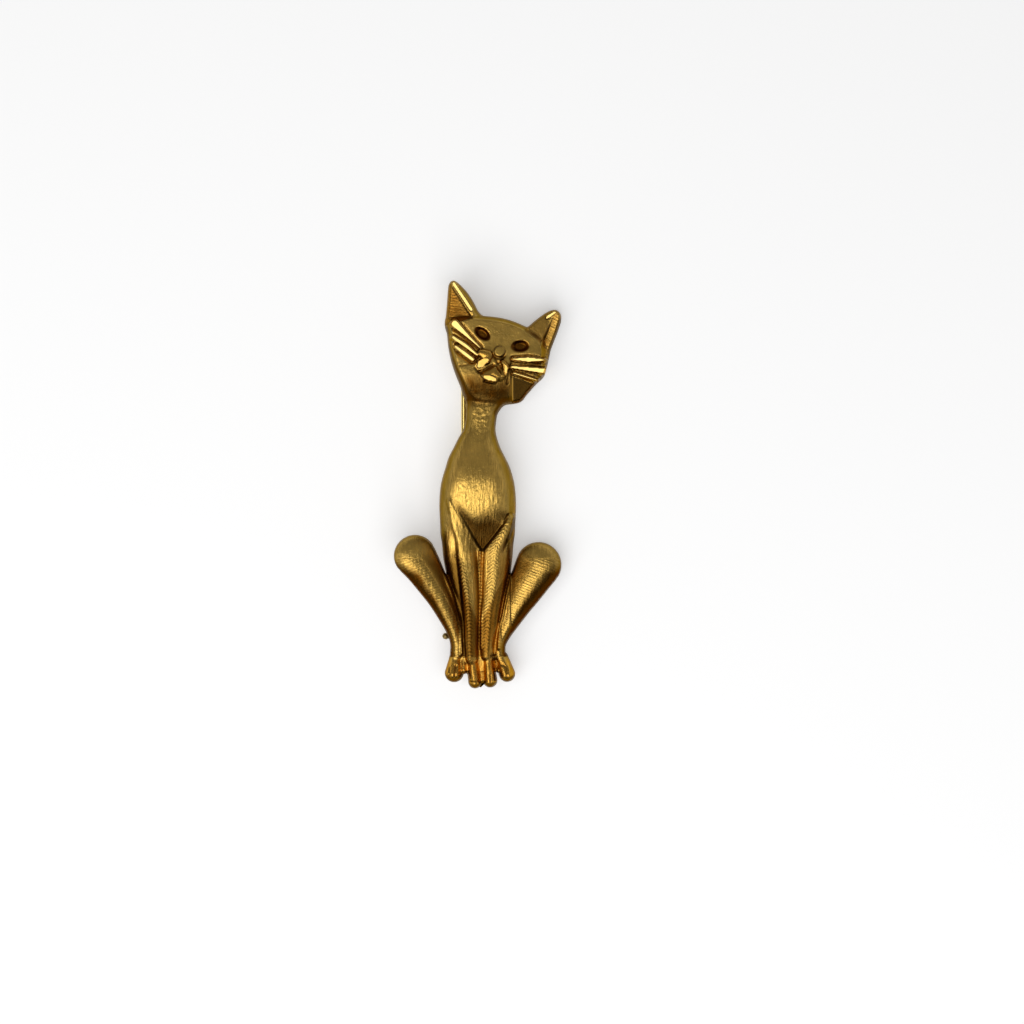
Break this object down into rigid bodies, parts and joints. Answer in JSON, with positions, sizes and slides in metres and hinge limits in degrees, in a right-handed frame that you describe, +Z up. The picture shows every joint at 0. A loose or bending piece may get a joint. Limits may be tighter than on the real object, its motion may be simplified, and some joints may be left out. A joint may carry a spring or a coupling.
{
  "type": "seated cat brooch",
  "caption": "Brushed gold-tone cast brooch of a seated cat, with a hinged pin stem and a turning safety catch on its flat back.",
  "frame": {"origin": "centre of the bottom of the box, on the surface that the brooch lies on", "axes": "+X to the viewer's right, +Y towards the ears, +Z up out of the cat's face. The flat back leans 11.8 degrees down to the right, because the pin finding holds its left side up"},
  "size_m": [0.0222, 0.054, 0.0095],
  "materials": {
    "brushed_gold": "brushed gold-tone plate, darker in the recesses",
    "polished_gold": "polished gold-tone plate"
  },
  "bodies": {
    "brooch": {"cat_casting": "brushed_gold", "hinge_bracket": "polished_gold", "hinge_rivet": "polished_gold", "catch_housing": "polished_gold"},
    "pin": {"pin_stem": "polished_gold"},
    "safety_sleeve": {"catch_sleeve": "polished_gold"}
  },
  "joints": [
    {"name": "pin_hinge", "type": "hinge", "parent": "brooch", "child": "pin", "pos_m": [-0.00196, 0.01852, 0.00125], "axis": [0.9787, 0, -0.2051], "range_deg": [0, 80]},
    {"name": "sleeve_turn", "type": "hinge", "parent": "brooch", "child": "safety_sleeve", "pos_m": [-0.00196, -0.02003, 0.00125], "axis": [0, -1, 0], "range_deg": [0, 180]}
  ]
}
